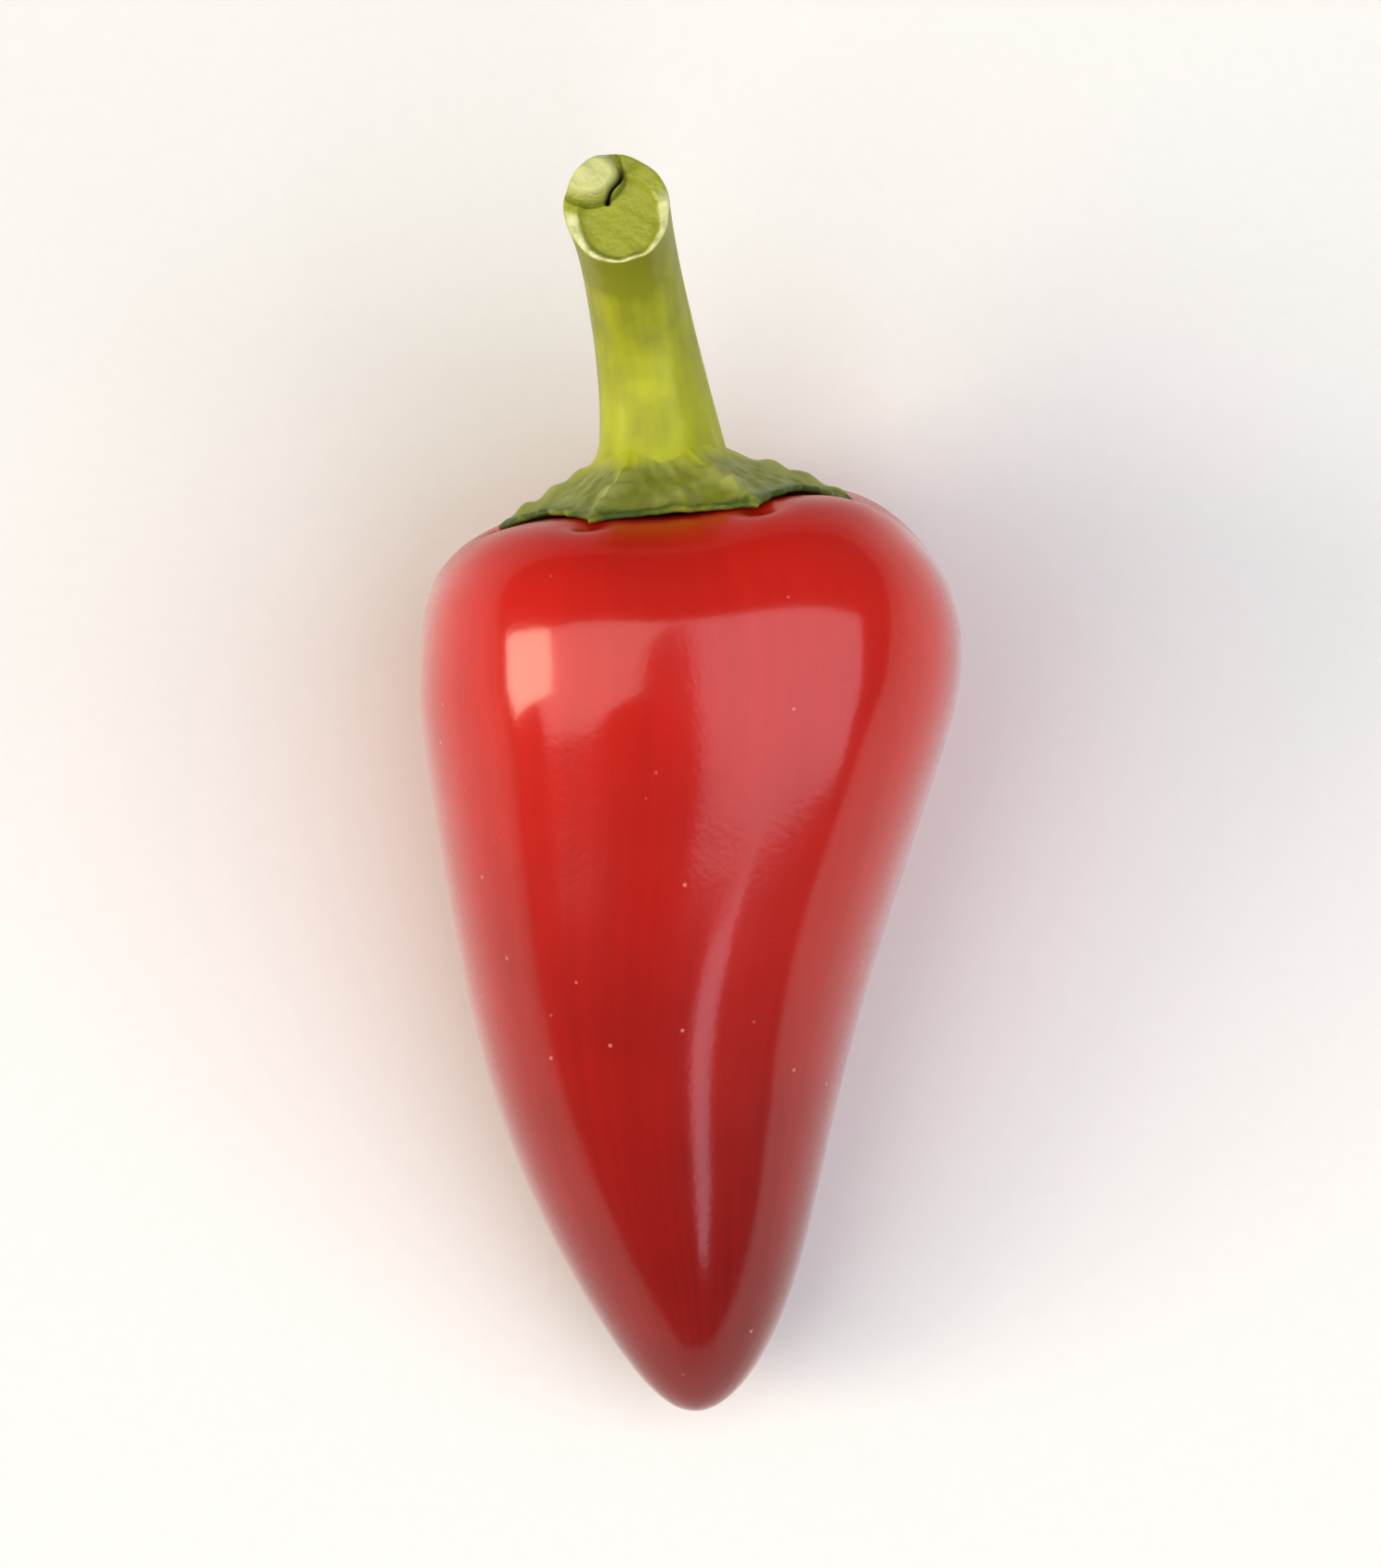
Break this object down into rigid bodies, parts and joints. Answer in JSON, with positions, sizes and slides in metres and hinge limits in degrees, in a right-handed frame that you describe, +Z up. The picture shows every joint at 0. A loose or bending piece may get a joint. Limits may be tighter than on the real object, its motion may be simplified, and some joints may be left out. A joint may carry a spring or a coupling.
{
  "type": "chilli pepper",
  "caption": "Ripe red chilli pepper, a blunt glossy conical pod with a green scalloped calyx and a curved cut stem, lying on its side.",
  "frame": {"origin": "on the surface the pepper lies on, under the middle of its bounding box", "axes": "+Z up, +Y along the pod from its tip towards its stem, +X to the right of someone who looks down on the pepper with its stem away from them"},
  "size_m": [0.0326, 0.074, 0.0326],
  "materials": {
    "pod_skin": "waxy, very glossy ripe red skin",
    "calyx_leaf": "leathery mid-green leaf, slightly ribbed",
    "stem_rind": "satin yellow-green ridged stem"
  },
  "bodies": {
    "root": {"pod": "pod_skin", "calyx": "calyx_leaf", "stem": "stem_rind"}
  },
  "joints": []
}
